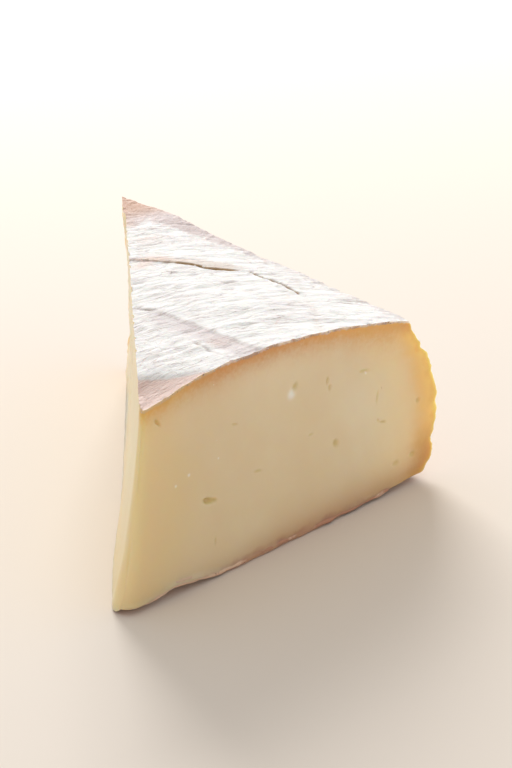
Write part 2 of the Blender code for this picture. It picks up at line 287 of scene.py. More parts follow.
def crack_marks(x, y):
    """Strength of the crack's two parts, and of the raised strip of rind beside the near part."""
    near, share_near, side_near = along_path(x, y, CRACK_NEAR)
    far, share_far, _ = along_path(x, y, CRACK_FAR)
    ragged = 1.0 + 0.5 * noise_at(x / 1.3, y / 1.3, 41.0)
    open_near = stretch(share_near, 0.05, 0.45, 0.93, 1.0) * ragged
    open_far = stretch(share_far, 0.0, 0.08, 0.92, 1.0) * ragged
    fold, share_fold, side_fold = along_path(x, y, FOLD_LINE)
    ends = stretch(share_fold, 0.0, 0.12, 0.85, 1.0)
    strip = np.where((side_near > 0) & (side_fold < 0), 1.0, 0.0) * ends
    return near, open_near, far, open_far, fold, ends, strip


def top_relief(s, x, y):
    """Height over the smooth top, and the marks that the rind's colours follow."""
    x, y = 1000.0 * x, 1000.0 * y
    across = y + 0.10 * x + 0.0011 * x**2
    along = x - 0.12 * y
    crease, value = crease_lines(along, across, 4.6, 21.0, 7.3, 11.0)
    relief = 1000.0 * s.crease_depth * (1.0 - 2.4 * np.abs(value))
    patch = smooth(noise_at(x / 13.0, y / 9.0, 31.0), -0.25, 0.35)
    wrinkle, value = crease_lines(along, across, 1.6, 7.0, 52.7, 9.0)
    relief += 1000.0 * s.wrinkle_depth * (1.0 - 2.6 * np.abs(value)) * (0.35 + 0.65 * patch)
    relief += 0.15 * noise_at(x / 17.0, y / 14.0, 61.0)
    # The shade mark greys the white mould: painted shade in the creases and wrinkles, and greyer across the
    # sunk band and along the fold.
    shade = 0.25 * crease * smooth(noise_at(x / 9.0, y / 7.0, 33.0), -0.2, 0.3) + 0.15 * wrinkle * patch
    # Strokes are painted shade: dark lines along the creases, the fold, the band's edge and the tip's board
    # mark.
    stroke_shade = np.zeros(len(x))

    # The sunk band that a board's edge left
    edge = 36.5 - 0.0012 * y**2 + 0.6 * noise_at(y / 5.0, x * 0.0, 71.0)
    fade = 1.0 - smooth(y, 30.0, 44.0)
    in_band = stretch(x, 28.0, 33.0, edge - 0.8, edge + 1.2) * fade
    relief -= 0.30 * in_band
    nearer = 1.0 - smooth(y, 20.0, 38.0)
    # A painted shade line along the band's edge.
    stroke_shade += (0.10 + 0.14 * nearer) * bump(x, edge + 0.2, 0.8) * fade
    shade += 0.8 * in_band * nearer
    pink = 0.14 * in_band * nearer

    # The tip's board mark, past which the top droops and keeps little mould
    line, _, side_line = along_path(x, y, TIP_LINE)
    past = line * side_line
    relief -= 0.28 * (1.0 - smooth(past, -1.0, 1.0))
    relief -= 1000.0 * s.tip_droop * (1.0 - smooth(past, -8.0, 2.4))
    # A painted shade line along the board mark.
    stroke_shade += 0.22 * bump(past, -0.1, 0.6)
    tip_bare = 1.0 - smooth(past, -1.2, 0.4)

    # The top is a little higher towards the tip, and sags beside the middle of the short cut
    relief += 0.8 * (1.0 - smooth(x, 15.5, 24.5))
    relief -= 0.42 * stretch(x, 38.0, 50.0, 68.0, 86.0) * (1.0 - smooth(y, 4.0, 22.0))

    # The crack, the strip of rind that folded beside it and the bruise beyond its end
    near, open_near, far, open_far, fold, ends, strip = crack_marks(x, y)
    width = 1000.0 * s.crack_width
    groove = 0.45 * bump(near, 0.0, 0.8 * width) * open_near + 1.2 * bump(far, 0.0, 1.2 * width) * open_far
    relief -= 1000.0 * s.crack_depth * groove
    relief += 0.35 * strip + 0.20 * bump(far, 1.5, 1.0) * open_far
    relief -= 0.16 * bump(fold, 0.0, 0.45) * ends
    crack = 0.9 * bump(near, 0.0, 1.0 * width) * open_near + bump(far, 0.0, 1.5 * width) * open_far
    crack = np.clip(crack + 0.25 * strip, 0.0, 1.0)
    # Painted shade along the fold.
    stroke_shade += (0.45 - 0.15 * smooth(x, 58.0, 64.0)) * bump(fold, 0.0, 0.42) * ends
    shade += 0.9 * bump(fold, 0.4, 0.9) * ends * (1.0 - 0.7 * smooth(x, 58.0, 64.0))
    pink = pink + 0.40 * strip
    bruise, share, _ = along_path(x, y, BRUISE)
    pink = pink + 0.40 * bump(bruise, 0.0, 1.5) * smooth(share, 0.0, 0.1)
    relief -= 0.25 * bump(bruise, 0.0, 1.2)

    for middle_x, middle_y, reach, turn, depth in DEEP_CREASES:
        way = (math.cos(math.radians(turn)), math.sin(math.radians(turn)))
        u = (x - middle_x) * way[0] + (y - middle_y) * way[1]
        v = (y - middle_y) * way[0] - (x - middle_x) * way[1] + 0.25 * noise_at(u / 1.5, x * 0.0, middle_x)
        mark = np.exp(-((np.abs(u) / (0.55 * reach)) ** 3)) * bump(v, 0.0, 0.40)
        relief -= depth * mark
        # Painted shade along each deep crease.
        stroke_shade += 1.8 * depth * mark
    for middle_x, middle_y, reach, strength in PINK_PLACES:
        u, v = (x - middle_x) / (1.5 * reach), (y - middle_y) / reach
        pink = pink + strength * np.exp(-(u**2) - v**2)

    # The block's corner and the edge over the rind side have lost their mould in slanting streaks.
    streaks = noise_at((0.89 * x + 0.45 * y) / 7.0, (0.89 * y - 0.45 * x) / 1.1, 83.0)
    relief += 0.16 * streaks * smooth(x, 74.0, 80.0) * smooth(y, 40.0, 60.0)
    from_edge = 88.0 - x
    breadth = 3.0 + 11.0 * smooth(y, 45.0, 92.0) + 5.0 * streaks
    edge_bare = 1.0 - smooth(from_edge, 0.55 * breadth, 1.25 * breadth)
    edge_bare *= 0.45 + 0.4 * smooth(y, 35.0, 80.0)
    corner = np.maximum(edge_bare, smooth(y + 2.5 * streaks, 74.5, 85.0))
    pink = np.clip(np.maximum(pink, corner), 0.0, 1.0)
    pink = np.maximum(pink, 0.85 * tip_bare)
    marks = {
        "shade": np.clip(shade, 0.0, 1.0),
        "stroke_shade": np.clip(stroke_shade, 0.0, 1.0),
        "edge": smooth(x, 70.0, 76.0) * smooth(94.0 - y, 3.0, 14.0),
        "pink": pink,
        "crack": crack,
        "along": along / 1000.0,
        "across": across / 1000.0,
    }
    return relief / 1000.0, marks


def bulge_of(s, level):
    """Bulge of the rind side at a share of the height, without its folds."""
    above = np.clip((level - 0.36) / 0.64, 0.0, 1.0)
    below = np.clip((0.36 - level) / 0.36, 0.0, 1.0)
    upper = s.bulge * (1.0 - above**2) ** 0.95
    lower = s.bulge - (s.bulge - s.bulge_foot) * below**2
    return np.where(level > 0.36, upper, lower)


def folds_of(s, run, height, level):
    """Level folds and pebbles of the rind side, at a distance along it."""
    from_cut = smooth(run, 0.0, 0.02)
    wander = noise_at(run / 0.030, height / 0.022, 12.4) * from_cut
    strength = 0.75 + 1.1 * noise_at(run / 0.016, height / 0.012, 14.8) * from_cut
    wave = np.cos(2.0 * math.pi * ((height - 0.0047) / s.fold_pitch + 0.9 * wander))
    rough = noise_at(run / 0.014, height / 0.0060, 17.9)
    fine = noise_at(run / 0.0045, height / 0.0022, 19.3)
    teeth = 0.5 - 2.0 * np.abs(noise_at(run / 0.0034, height / 0.0019, 20.9))
    fade = smooth(level, 0.0, 0.08) * (1.0 - 0.8 * smooth(level, 0.75, 1.0))
    folds = s.fold_depth * ((1.0 - level) * wave * strength + 0.5 * rough + 0.22 * fine)
    return (folds + s.tooth_depth * teeth) * fade


def foot_round(height, radius):
    """How far a wall is set back near the base, where its edge is rounded."""
    down = np.clip(1.0 - height / radius, 0.0, 1.0)
    return radius * (1.0 - np.sqrt(1.0 - down**2))


def foot_lift(x):
    """How far the base rind lifts off the board along the short cut."""
    by_tip = 0.0017 * (1.0 - smooth(x, 0.016, 0.029)) + 0.0010 * bump(x, 0.0105, 0.0045)
    return by_tip + 0.0018 * smooth(x, 0.050, 0.097)


def round_tip(s, x, y, apex, level):
    """Draws the points near the tip's upright edge on to an arc, wider at the foot than at the top."""
    radius = TIP_RADIUS_TOP + (TIP_RADIUS_FOOT - TIP_RADIUS_TOP) * (1.0 - level) ** 1.5
    front = np.tile([1.0, 0.0], (len(x), 1))
    left = np.array([s.short_cut, s.rind_run]) * (1.0 + s.corner_bulge * s.bulge_foot / s.short_cut) - apex
    left /= np.linalg.norm(left, axis=1, keepdims=True)
    middle = front + left
    middle /= np.linalg.norm(middle, axis=1, keepdims=True)
    half_angle = 0.5 * np.arccos(np.clip((front * left).sum(1), -1.0, 1.0))
    centre = apex + middle * (radius / np.sin(half_angle))[:, None]
    out_left = np.stack([-left[:, 1], left[:, 0]], axis=1)
    q = np.stack([x, y], axis=1) - centre
    reach = np.linalg.norm(q, axis=1) + 1e-12
    to_front, to_left = -q[:, 1] / reach, (q * out_left).sum(1) / reach
    between = (q[:, 0] <= 0.0) & (q[:, 0] * out_left[:, 1] - q[:, 1] * out_left[:, 0] <= 0.0)
    factor = np.where(between & ((q * middle).sum(1) < 0.0), np.maximum(to_front, to_left), 1.0)
    return centre[:, 0] + q[:, 0] * factor, centre[:, 1] + q[:, 1] * factor


def eye_marks(x, z):
    """Depth of the eyes and strength of the pale specks, one a painted highlight, at a place on the short
    cut.
    """
    depth, pale = np.zeros(len(x)), np.zeros(len(x))
    x, z = 1000.0 * x, 1000.0 * z
    for place, height, half_length, half_height, tilt, deep in EYES:
        turn = math.radians(tilt)
        u = (x - place) * math.cos(turn) + (z - height) * math.sin(turn)
        v = (z - height) * math.cos(turn) - (x - place) * math.sin(turn)
        depth += deep * np.exp(-(((u / half_length) ** 2 + (v / half_height) ** 2) ** 1.5))
    for place, height, reach in PALE_SPECKS_AND_HIGHLIGHT:
        pale += np.exp(-((((x - place) ** 2 + (z - height) ** 2) / reach**2) ** 1.5))
    return depth / 1000.0, np.clip(pale, 0.0, 1.0)


def form_of(s, tip, side, corner, level):
    """Places and marks of points of the prism, given by their shares of the corners and of the height."""
    low = 1.0 - level
    run_short, run_rind = side * s.short_cut, corner * s.rind_run
    x = side * s.short_cut + corner * s.short_cut
    y = corner * s.rind_run
    relief, marks = top_relief(s, x, y)
    height = top_form(s, tip, side, corner) + relief
    z = level * height

    # The upright edges move first, and what lies between them goes with them.
    bulge = bulge_of(s, level)
    folds = folds_of(s, run_rind, z, level)
    for step_height, half_height, out in SIDE_STEPS:
        folds += 0.001 * out * bump(1000.0 * z, step_height, half_height) * bump(run_rind, 0.0, 0.012)
    rough = folds - foot_round(z, 0.0026)
    apex = TIP_TOP + np.outer(low**1.5, np.subtract(TIP_FOOT, TIP_TOP))
    x = x + tip * apex[:, 0] + side * (bulge + rough) + corner * (s.corner_bulge * bulge + rough)
    y = y + tip * apex[:, 1] + side * 0.0006 * low
    y = y + corner * s.corner_bulge * bulge * 1.07

    # Then each face swells or is set back along its own normal, fading into the piece.
    down = height - z
    on_short, on_long = np.exp(-((corner / 0.08) ** 2)), np.exp(-((side / 0.08) ** 2))
    set_back = foot_round(z, 0.0005)
    waves = 0.0005 * noise_at(run_short / 0.030, z / 0.022, 21.7) * 4.0 * level * low
    waves += 0.00012 * noise_at((run_short + 0.4 * z) / 0.0035, (z - 0.4 * run_short) / 0.024, 23.1)
    depth, pale = eye_marks(x, z)
    on_front = corner == 0.0
    torn = smooth(noise_at(run_short / 0.0022, z / 0.004, 27.0), 0.05, 0.55)
    torn *= 0.00045 * bump(down, 0.0, 0.0007)
    torn -= 0.00022 * bump(down, 0.0, 0.0005) * (1.0 + noise_at(run_short / 0.004, z * 0.0, 28.0))
    lip = s.base_lip * bump(z, 0.0006, 0.0010) * (0.9 + 0.9 * noise_at(run_short / 0.0055, z / 0.004, 29.0))
    lip = lip * (1.0 + 0.8 * bump(run_short, 0.024, 0.010))
    y = y + on_short * (set_back + waves + (depth + torn) * on_front - lip)
    out = np.array([-s.rind_run, s.short_cut]) / math.hypot(s.short_cut, s.rind_run)
    waves = 0.0006 * noise_at(corner / 0.25, z / 0.020, 25.2) * 4.0 * level * low
    waves += 0.00012 * noise_at((corner * 0.13 + 0.4 * z) / 0.0035, (z - 0.05 * corner) / 0.024, 26.1)
    spread = s.spread_long * bump(corner, 0.25, 0.16) * low**1.5
    tab = 0.0006 * smooth(run_rind, s.rind_run - 0.0135, s.rind_run - 0.0120) * smooth(level, 0.82, 0.88)
    torn = 0.0004 * smooth(noise_at(corner / 0.017, z / 0.004, 37.0), 0.05, 0.55) * bump(down, 0.0, 0.0007)
    recess = s.recess_long * smooth(corner, 0.12, 0.40) * smooth(low, 0.05, 0.5)
    swell = spread - recess + waves - set_back + tab - torn * (side == 0.0)
    x, y = x + out[0] * on_long * swell, y + out[1] * on_long * swell

    x, y = round_tip(s, x, y, apex, level)
    z = z + foot_lift(x) * low**4 * np.exp(-((corner / 0.035) ** 2))
    long_row = math.hypot(s.short_cut, s.rind_run)
    from_side = tip * np.where(on_front, s.short_cut + bulge, long_row + 1.3 * s.corner_bulge * bulge)
    marks |= {
        "down": down,
        "from_side": from_side,
        "up": z,
        # The pit mark tints the eyes olive and paints shade inside them.
        "pit_tint_and_shade": np.clip(depth / 0.0004, 0.0, 1.0) * on_front,
        # The pale mark holds the pale specks and a painted highlight on an eye's lip.
        "pale": pale * on_front,
        "front": np.exp(-((corner / 0.02) ** 2)),
        "hollow": -folds / s.fold_depth,
        "at_corner": smooth(y + 0.6 * x, 0.114, 0.136),
    }
    return np.stack([x + TIP_IN_FRAME[0], y + TIP_IN_FRAME[1], z], axis=1), marks


def shares_of(mesh, corners):
    """Each point's shares of the prism's corners and of its height."""
    points = np.array([v.co for v in mesh.verts])
    to_shares = np.linalg.inv(np.vstack([corners.T, np.ones(3)]))
    shares = np.column_stack([points[:, :2], np.ones(len(points))]) @ to_shares.T
    shares[np.abs(shares) < 1e-5] = 0.0
    steps = np.clip(points[:, 2] + 0.5, 0.0, 1.0)
    levels = steps - 0.8 * np.sin(2.0 * math.pi * steps) / (2.0 * math.pi)
    return shares, levels


def refine(mesh, corners, wanted):
    """Splits the edges whose middles are wanted, given by their shares of the corners and their level."""
    shares, levels = shares_of(mesh, corners)
    mesh.verts.index_update()
    ends = np.array([[v.index for v in edge.verts] for edge in mesh.edges])
    share, level = shares[ends].mean(1), levels[ends].mean(1)
    chosen = wanted(share, level)
    edges = [edge for edge, take in zip(mesh.edges, chosen) if take]
    bmesh.ops.subdivide_edges(mesh, edges=edges, cuts=1, use_grid_fill=True)
    many = [face for face in mesh.faces if len(face.verts) > 4]
    bmesh.ops.triangulate(mesh, faces=many)


def prism(s):
    """A three-sided prism, finely divided, and more so on its top, by the crack and by the eyes."""
    mesh = bmesh.new()
    bmesh.ops.create_cone(mesh, segments=3, cap_ends=True, radius1=1.0, radius2=1.0, depth=1.0)
    lower = sorted((v for v in mesh.verts if v.co.z < 0.0), key=lambda v: math.atan2(v.co.y, v.co.x))
    corners = np.array([v.co.xy for v in lower])
    upright = [edge for edge in mesh.edges if abs(edge.verts[0].co.z - edge.verts[1].co.z) > 0.5]
    bmesh.ops.subdivide_edges(mesh, edges=upright, cuts=s.rise_steps - 1, use_grid_fill=True)
    flat = [edge for edge in mesh.edges if abs(edge.verts[0].co.z - edge.verts[1].co.z) < 1e-6]
    bmesh.ops.subdivide_edges(mesh, edges=flat, cuts=s.run_steps - 1, use_grid_fill=True)

    def near_crack(share, level):
        x, y = 1000.0 * s.short_cut * (share[:, 1] + share[:, 2]), 1000.0 * s.rind_run * share[:, 2]
        near = np.minimum(along_path(x, y, CRACK_NEAR)[0], along_path(x, y, CRACK_FAR)[0])
        return (level > 0.9999) & (np.minimum(near, along_path(x, y, FOLD_LINE)[0]) < 0.9)

    def near_eyes(share, level):
        bulge = bulge_of(s, level)
        lean = TIP_FOOT[0] * share[:, 0] * (1.0 - level) ** 1.5
        x = 1000.0 * ((s.short_cut + bulge) * share[:, 1] + lean)
        z = 1000.0 * level * top_form(s, share[:, 0], share[:, 1], share[:, 2])
        found = np.zeros(len(x), bool)
        for place, height, half_length, half_height, *_ in EYES:
            found |= (np.abs(x - place) < half_length + 1.2) & (np.abs(z - height) < half_height + 1.2)
        for place, height, reach in PALE_SPECKS_AND_HIGHLIGHT:
            found |= (np.abs(x - place) < reach + 0.9) & (np.abs(z - height) < reach + 0.9)
        return found & (share[:, 2] == 0.0)

    refine(mesh, corners, lambda share, level: level > 0.9999)
    refine(mesh, corners, near_crack)
    refine(mesh, corners, near_eyes)
    refine(mesh, corners, near_eyes)
    return mesh, *shares_of(mesh, corners)


def object_from(name, data):
    """A linked object for a mesh or a curve."""
    made = bpy.data.objects.new(name, data)
    bpy.context.scene.collection.objects.link(made)
    return made


def dress(piece):
    """Joins a finished piece to the frame."""
    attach(piece, "root")
    return piece


class Number:
    """A socket that holds a number. Using it in an expression adds Math nodes."""

    def __init__(self, tree, socket):
        self.tree, self.socket = tree, socket

    def math(self, operation, *others, clamp=False, reflected=False):
        values = (*others, self) if reflected else (self, *others)
        settings = {"operation": operation, "use_clamp": clamp}
        return self.tree.number("ShaderNodeMath", settings, dict(enumerate(values)))

    def __add__(self, other):
        return self.math("ADD", other)

    def __sub__(self, other):
        return self.math("SUBTRACT", other)

    def __mul__(self, other):
        return self.math("MULTIPLY", other)

    def __truediv__(self, other):
        return self.math("DIVIDE", other)

    def __rsub__(self, other):
        return self.math("SUBTRACT", other, reflected=True)

    def __rtruediv__(self, other):
        return self.math("DIVIDE", other, reflected=True)

    __radd__, __rmul__ = __add__, __mul__


class Tree:
    """Adds nodes to a material or a geometry tree."""

    def __init__(self, tree):
        self.tree = tree

    def add(self, kind, settings=None, sockets=None):
        """A node of one type, with its settings and the values or links of its sockets."""
        node = self.tree.nodes.new(kind)
        for name, value in (settings or {}).items():
            setattr(node, name, value)
        for name, value in (sockets or {}).items():
            value = value.socket if isinstance(value, Number) else value
            if isinstance(value, bpy.types.NodeSocket):
                self.tree.links.new(value, node.inputs[name])
            else:
                node.inputs[name].default_value = value
        return node

    def number(self, kind, settings=None, sockets=None, output=0):
        return Number(self, self.add(kind, settings, sockets).outputs[output])


class Finish(Tree):
    """A material with a Principled shader."""

    def __init__(self, name):
        self.material = bpy.data.materials.new(name)
        self.material.use_nodes = True
        super().__init__(self.material.node_tree)
        self.shader = self.tree.nodes["Principled BSDF"]
        self.place = self.add("ShaderNodeTexCoord").outputs["Object"]

    def mark(self, name):
        return self.number("ShaderNodeAttribute", {"attribute_name": name}, output="Fac")

    def stretched(self, scale):
        """Object coordinates, scaled along each axis."""
        return self.add("ShaderNodeMapping", None, {"Vector": self.place, "Scale": scale}).outputs[0]

    def noise(self, size, detail=3.0, vector=None, roughness=0.5, distortion=0.0):
        """Noise from 0 to 1 whose features are about as large as size."""
        sockets = {"Vector": vector or self.place, "Scale": 1.0 / size, "Detail": detail}
        sockets |= {"Roughness": roughness, "Distortion": distortion}
        return self.number("ShaderNodeTexNoise", None, sockets, output="Fac")

    def between(self, value, low, high):
        """0 below low, 1 above high and a smooth rise between them."""
        sockets = {"Value": value, "From Min": low, "From Max": high}
        return self.number("ShaderNodeMapRange", {"interpolation_type": "SMOOTHSTEP"}, sockets)

    def ridge(self, size, vector, sharpness, detail, distortion):
        """Thin lines where a noise crosses its middle."""
        value = self.noise(size, detail, vector, distortion=distortion)
        return self.between((value - 0.5).math("ABSOLUTE"), sharpness, 0.0)

    def mix(self, share, first, second):
        """The first colour, and the second where the share is 1."""
        sockets = {0: share, 6: self.colour(first), 7: self.colour(second)}
        return self.add("ShaderNodeMix", {"data_type": "RGBA"}, sockets).outputs[2]

    @staticmethod
    def colour(value):
        return value if isinstance(value, bpy.types.NodeSocket) else (*value, 1.0)

    def raised(self, height, distance, strength):
        """Sends a height from 0 to 1 to the shader's normal."""
        sockets = {"Height": height, "Distance": distance, "Strength": strength}
        self.link(self.add("ShaderNodeBump", None, sockets).outputs[0], "Normal")

    def link(self, value, name):
        value = value.socket if isinstance(value, Number) else value
        self.tree.links.new(value, self.shader.inputs[name])

    def soft(self, weight, radius, scale):
        """Light that spreads under the surface."""
        self.fixed(Subsurface_Weight=weight, Subsurface_Radius=radius, Subsurface_Scale=scale)

    def fixed(self, **values):
        for name, value in values.items():
            self.shader.inputs[name.replace("_", " ")].default_value = value


def paste_finish(look):
    """Moist pale paste: riper and more amber towards the rind, with a painted glow along the rind side,
    cloudy, with knife marks.
    """
    f = Finish("taleggio_paste_cut")
    wobble = (f.noise(0.006, 3.0) - 0.5) * 0.0022
    down, from_side, up = f.mark("down") + wobble, f.mark("from_side") + wobble, f.mark("up")
    cloud = f.noise(0.022, 3.0)
    deeper = f.between(cloud + from_side * 6.0, 0.35, 1.15)
    paste = f.mix(deeper, look.paste, look.paste_deep)
    # Towards the rind side: yellower paste, with a painted glow of light through the rind.
    paste = f.mix(f.between(from_side, 0.028, 0.010) * 0.5, paste, look.paste_side_ripe_and_glow)
    paste = f.mix(f.between(f.mark("from_side"), 0.074, 0.090) * 0.75, paste, look.paste_thin)
    front = f.mark("front")
    off_front = f.between(front, 0.6, 0.1) * f.between(up, 0.002, 0.030) * 0.8
    paste = f.mix(off_front, paste, look.paste_left)
    reach = 0.0040 + f.between(from_side, 0.045, 0.005) * 0.0026
    ripe_top = (down * -1.0 / reach).math("EXPONENT") * (0.2 + front * 0.8)
    ripe_side = (from_side / -0.0070).math("EXPONENT")
    ripe_base = (up / -0.0066).math("EXPONENT") * (0.5 + f.between(from_side, 0.082, 0.040) * 0.5) * front
    ripe = ripe_top.math("MAXIMUM", ripe_side)
    crumbly = (f.noise(0.0009, 3.0, roughness=0.65) - 0.5) * ripe_top * 0.7
    riper = f.mix(f.between(from_side, 0.050, 0.012), look.under_rind, look.under_side)
    riper = f.mix(f.between(from_side, 0.066, 0.082), riper, look.under_tip)
    body = f.mix(f.between(ripe + crumbly, 0.05, 0.85), paste, riper)
    body = f.mix(f.between(ripe_base, 0.05, 1.0) * 0.85, body, look.ripe_base)
    # Rim along the rind side: ripe amber paste and rind, with a painted glow of light through the rind,
    # dimmer towards the base.
    rim_ripe_and_glow = f.mix(f.between(from_side + wobble, 0.0034, 0.0008), look.rim_ripe_and_glow, look.rim_outer_rind_and_glow)
    rim_ripe_and_glow = f.mix(f.between(up + wobble * 2.0, 0.0200, 0.0040), rim_ripe_and_glow, look.rim_low_glow_fade)
    rim_ripe_and_glow = f.mix(f.between(down, 0.0060, 0.0012) * 0.75, rim_ripe_and_glow, look.under_rind)
    body = f.mix(f.between(from_side, 0.0105, 0.0010) * (0.3 + front * 0.7), body, rim_ripe_and_glow)
    section = f.between(f.mark("down") + (f.noise(0.0010, 3.0) - 0.5) * 0.0011, 0.0011, 0.0005)
    cut_rind = f.mix(f.between(f.noise(0.0045, 3.0), 0.42, 0.60), look.rind_section, look.section_pale)
    cut_rind = f.mix(f.between(from_side, 0.060, 0.070), cut_rind, look.section_tip)
    body = f.mix(section * (0.30 + front * 0.62), body, cut_rind)
    damp = f.mix(f.between(from_side, 0.055, 0.075), look.base, look.base_tip)
    foot = f.between(up + (f.noise(0.0045, 3.0) - 0.5) * 0.0050, 0.0026, 0.0006)
    body = f.mix(foot * front * 0.75, body, damp)
    # Eyes: olive tint, with painted shade in their hollows.
    body = f.mix(f.mark("pit_tint_and_shade") * 0.7, body, look.eye)
    # Pale specks, and a painted highlight on the lower lip of one eye.
    body = f.mix(f.mark("pale") * 0.8, body, look.pale_speck_and_highlight)
    f.link(body, "Base Color")
    grain = f.noise(0.0016, 4.0, roughness=0.6)
    drag = f.noise(1.0, 3.0, f.stretched((260.0, 260.0, 55.0)))
    f.link(0.40 + (grain - 0.5) * 0.25 + (cloud - 0.5) * 0.15, "Roughness")
    f.raised(grain * 0.55 + drag * 0.45, 0.00022, 0.55)
    f.soft(0.6, (1.0, 0.68, 0.32), 0.0075)
    f.fixed(Coat_Weight=0.12, Coat_Roughness=0.35)
    return f.material


def rind_finish(look):
    """Washed rind under white mould: the mould is thick on the top and thin on the side and the base."""
    f = Finish("taleggio_rind")
    up, pink, shade, hollow = f.mark("up"), f.mark("pink"), f.mark("shade"), f.mark("hollow")
    sockets = {0: f.mark("along") * 0.16, 1: f.mark("across"), 2: f.mark("down")}
    along_top = f.add("ShaderNodeCombineXYZ", None, sockets).outputs[0]
    deep_lines = f.ridge(0.0030, along_top, 0.020, 3.0, 0.5)
    fine_lines = f.ridge(0.0013, along_top, 0.040, 3.0, 0.4)
    finer_lines = f.ridge(0.00060, along_top, 0.06, 2.0, 0.3)
    patch = f.noise(0.009, 3.0)
    speckle = f.noise(0.0006, 3.0, roughness=0.65)
    on_side = f.between(f.mark("down"), 0.0004, 0.0022)
    # Thin crease lines in the colour are painted shade at the bottoms of the creases.
    lines = fine_lines * 0.22 * f.between(patch, 0.40, 0.6) + finer_lines * 0.06
    lines = lines + deep_lines * 0.42 * f.between(f.noise(0.009, 3.0), 0.44, 0.60)
    # Where the shade mark is high the white mould greys: painted shade in the creases.
    thin = (shade + (speckle - 0.5) * 0.5 + (patch - 0.5) * 0.7).math("MINIMUM", 1.0, clamp=True)
    top = f.mix(thin, look.bloom, look.bloom_thin)
    # Crease lines and strokes take the painted crease shade.
    top = f.mix((lines + f.mark("stroke_shade") * 0.8).math("MINIMUM", 1.0, clamp=True), top, look.line)
    crumbly = f.between(speckle, 0.60, 0.72) * f.between(f.mark("from_side"), 0.070, 0.082) * 0.5
    top = f.mix(crumbly, top, look.line)
    frayed = (f.noise(0.0024, 4.0, along_top) - 0.5) * 0.5 + (speckle - 0.5) * 0.35
    worn = f.between(pink + frayed, 0.15, 0.90)
    bare = f.mix(f.between(f.mark("from_side"), 0.055, 0.072), look.bare, look.bare_tip)
    bare = f.mix(f.mark("edge"), f.mix(f.mark("at_corner"), bare, look.bare_corner), look.edge)
    top = f.mix(worn * 0.95, top, bare)
    dust = f.between(f.noise(0.0045, 5.0, roughness=0.62) + hollow * 0.10 + (speckle - 0.5) * 0.3, 0.46, 0.66)
    side = f.mix(f.between(f.noise(0.014, 3.0), 0.35, 0.65), look.bare_side, look.bare)
    side = f.mix(dust * 0.75, side, look.bloom_thin)
    high_dust = f.between(up + (patch - 0.5) * 0.02, 0.034, 0.052)
    side = f.mix(high_dust * 0.65, side, look.bloom)
    body = f.mix(on_side, top, side)
    body = f.mix(f.between(up, 0.0045, 0.0008) * 0.8, body, look.base)
    body = f.mix(f.mark("crack"), body, look.crack)
    f.link(body, "Base Color")
    f.link(0.82 - worn * 0.22 - on_side * 0.08 + (speckle - 0.5) * 0.1, "Roughness")
    height = speckle * 0.25 + f.noise(0.0019, 4.0, roughness=0.6) * 0.35
    height = height - deep_lines * 0.5 - fine_lines * 0.35 - finer_lines * 0.14
    f.raised(height, 0.00035, 0.7)
    f.soft(0.15, (1.0, 0.6, 0.35), 0.002)
    f.fixed(Sheen_Weight=0.12, Sheen_Roughness=0.5)
    return f.material


def crumb_finish(look):
    """Specks of paste that the knife left."""
    f = Finish("taleggio_paste_speck")
    f.link(f.mix(f.noise(0.002, 2.0), look.paste, look.crumb), "Base Color")
    f.fixed(Roughness=0.45)
    f.soft(0.3, (1.0, 0.6, 0.3), 0.002)
    return f.material


def flake_finish(look):
    """Dry flakes of the cut rind."""
    f = Finish("taleggio_rind_flake")
    tan = f.mix(f.between(f.noise(0.0030, 2.0), 0.42, 0.6), look.bloom_thin, look.rind_section)
    f.link(tan, "Base Color")
    f.fixed(Roughness=0.9)
    return f.material


def base_lip_finish(look):
    """Damp pink rind of the base where it curls out from under the short cut."""
    f = Finish("taleggio_base_lip")
    split = f.add("ShaderNodeSeparateXYZ", None, {0: f.place}).outputs
    x, up = (Number(f, split[k]) for k in (0, 2))
    near_tip = f.between(x, TIP_IN_FRAME[0] + 0.036, TIP_IN_FRAME[0] + 0.026)
    pale = f.between(f.noise(0.0035, 4.0) + near_tip * 0.45, 0.50, 0.72)
    body = f.mix(pale, look.base, look.lip_pale)
    stain = f.between(f.noise(0.0028, 3.0, roughness=0.7), 0.64, 0.80)
    body = f.mix(stain * 0.6, body, look.lip_stain)
    body = f.mix(f.between(up, 0.0010, 0.0004) * 0.85, body, look.lip_under)
    f.link(body, "Base Color")
    f.fixed(Roughness=0.6)
    f.soft(0.15, (1.0, 0.6, 0.35), 0.002)
    f.raised(f.noise(0.0012, 3.0), 0.0002, 0.6)
    return f.material


def tuft_finish(look):
    """Dry tufts of white mould."""
    f = Finish("taleggio_mould_tuft")
    f.link(f.mix(f.noise(0.0015, 2.0), look.bloom, look.tuft), "Base Color")
    f.fixed(Roughness=0.95)
    return f.material


